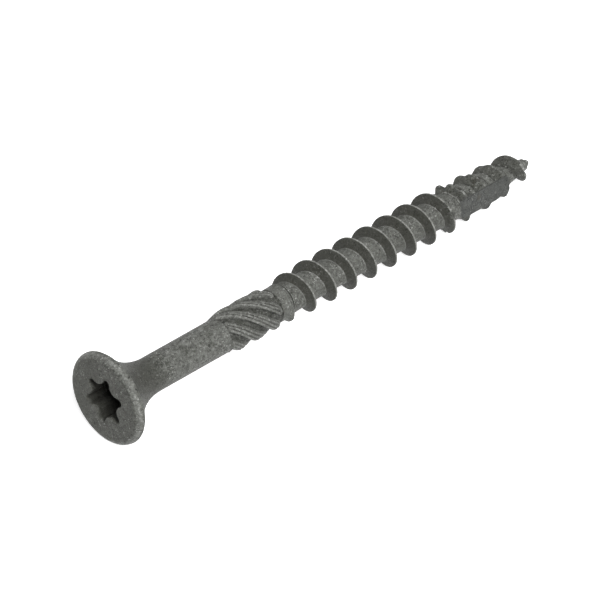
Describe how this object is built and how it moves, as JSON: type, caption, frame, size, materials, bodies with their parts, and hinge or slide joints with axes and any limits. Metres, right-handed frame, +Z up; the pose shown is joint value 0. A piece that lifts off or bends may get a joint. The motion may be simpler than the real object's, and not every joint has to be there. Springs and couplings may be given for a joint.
{
  "type": "construction screw",
  "caption": "Countersunk construction screw with a lobed drive recess, plain shank, milling ribs, coarse wood thread and a serrated, notched point.",
  "frame": {"origin": "bottom centre of the lying screw's box, on the surface that it rests on", "axes": "+X from the head towards the point, +Z up from the surface that it rests on; the screw's own axis leans down towards the point by about 2.9 degrees, because it rests on the head's rim and the thread"},
  "size_m": [0.0702, 0.0116, 0.0115],
  "materials": {
    "coated_steel": "dull dark grey coating with a slight olive tint, mottled, with fine pits and brighter worn edges"
  },
  "bodies": {
    "root": {"screw": "coated_steel"}
  },
  "joints": []
}
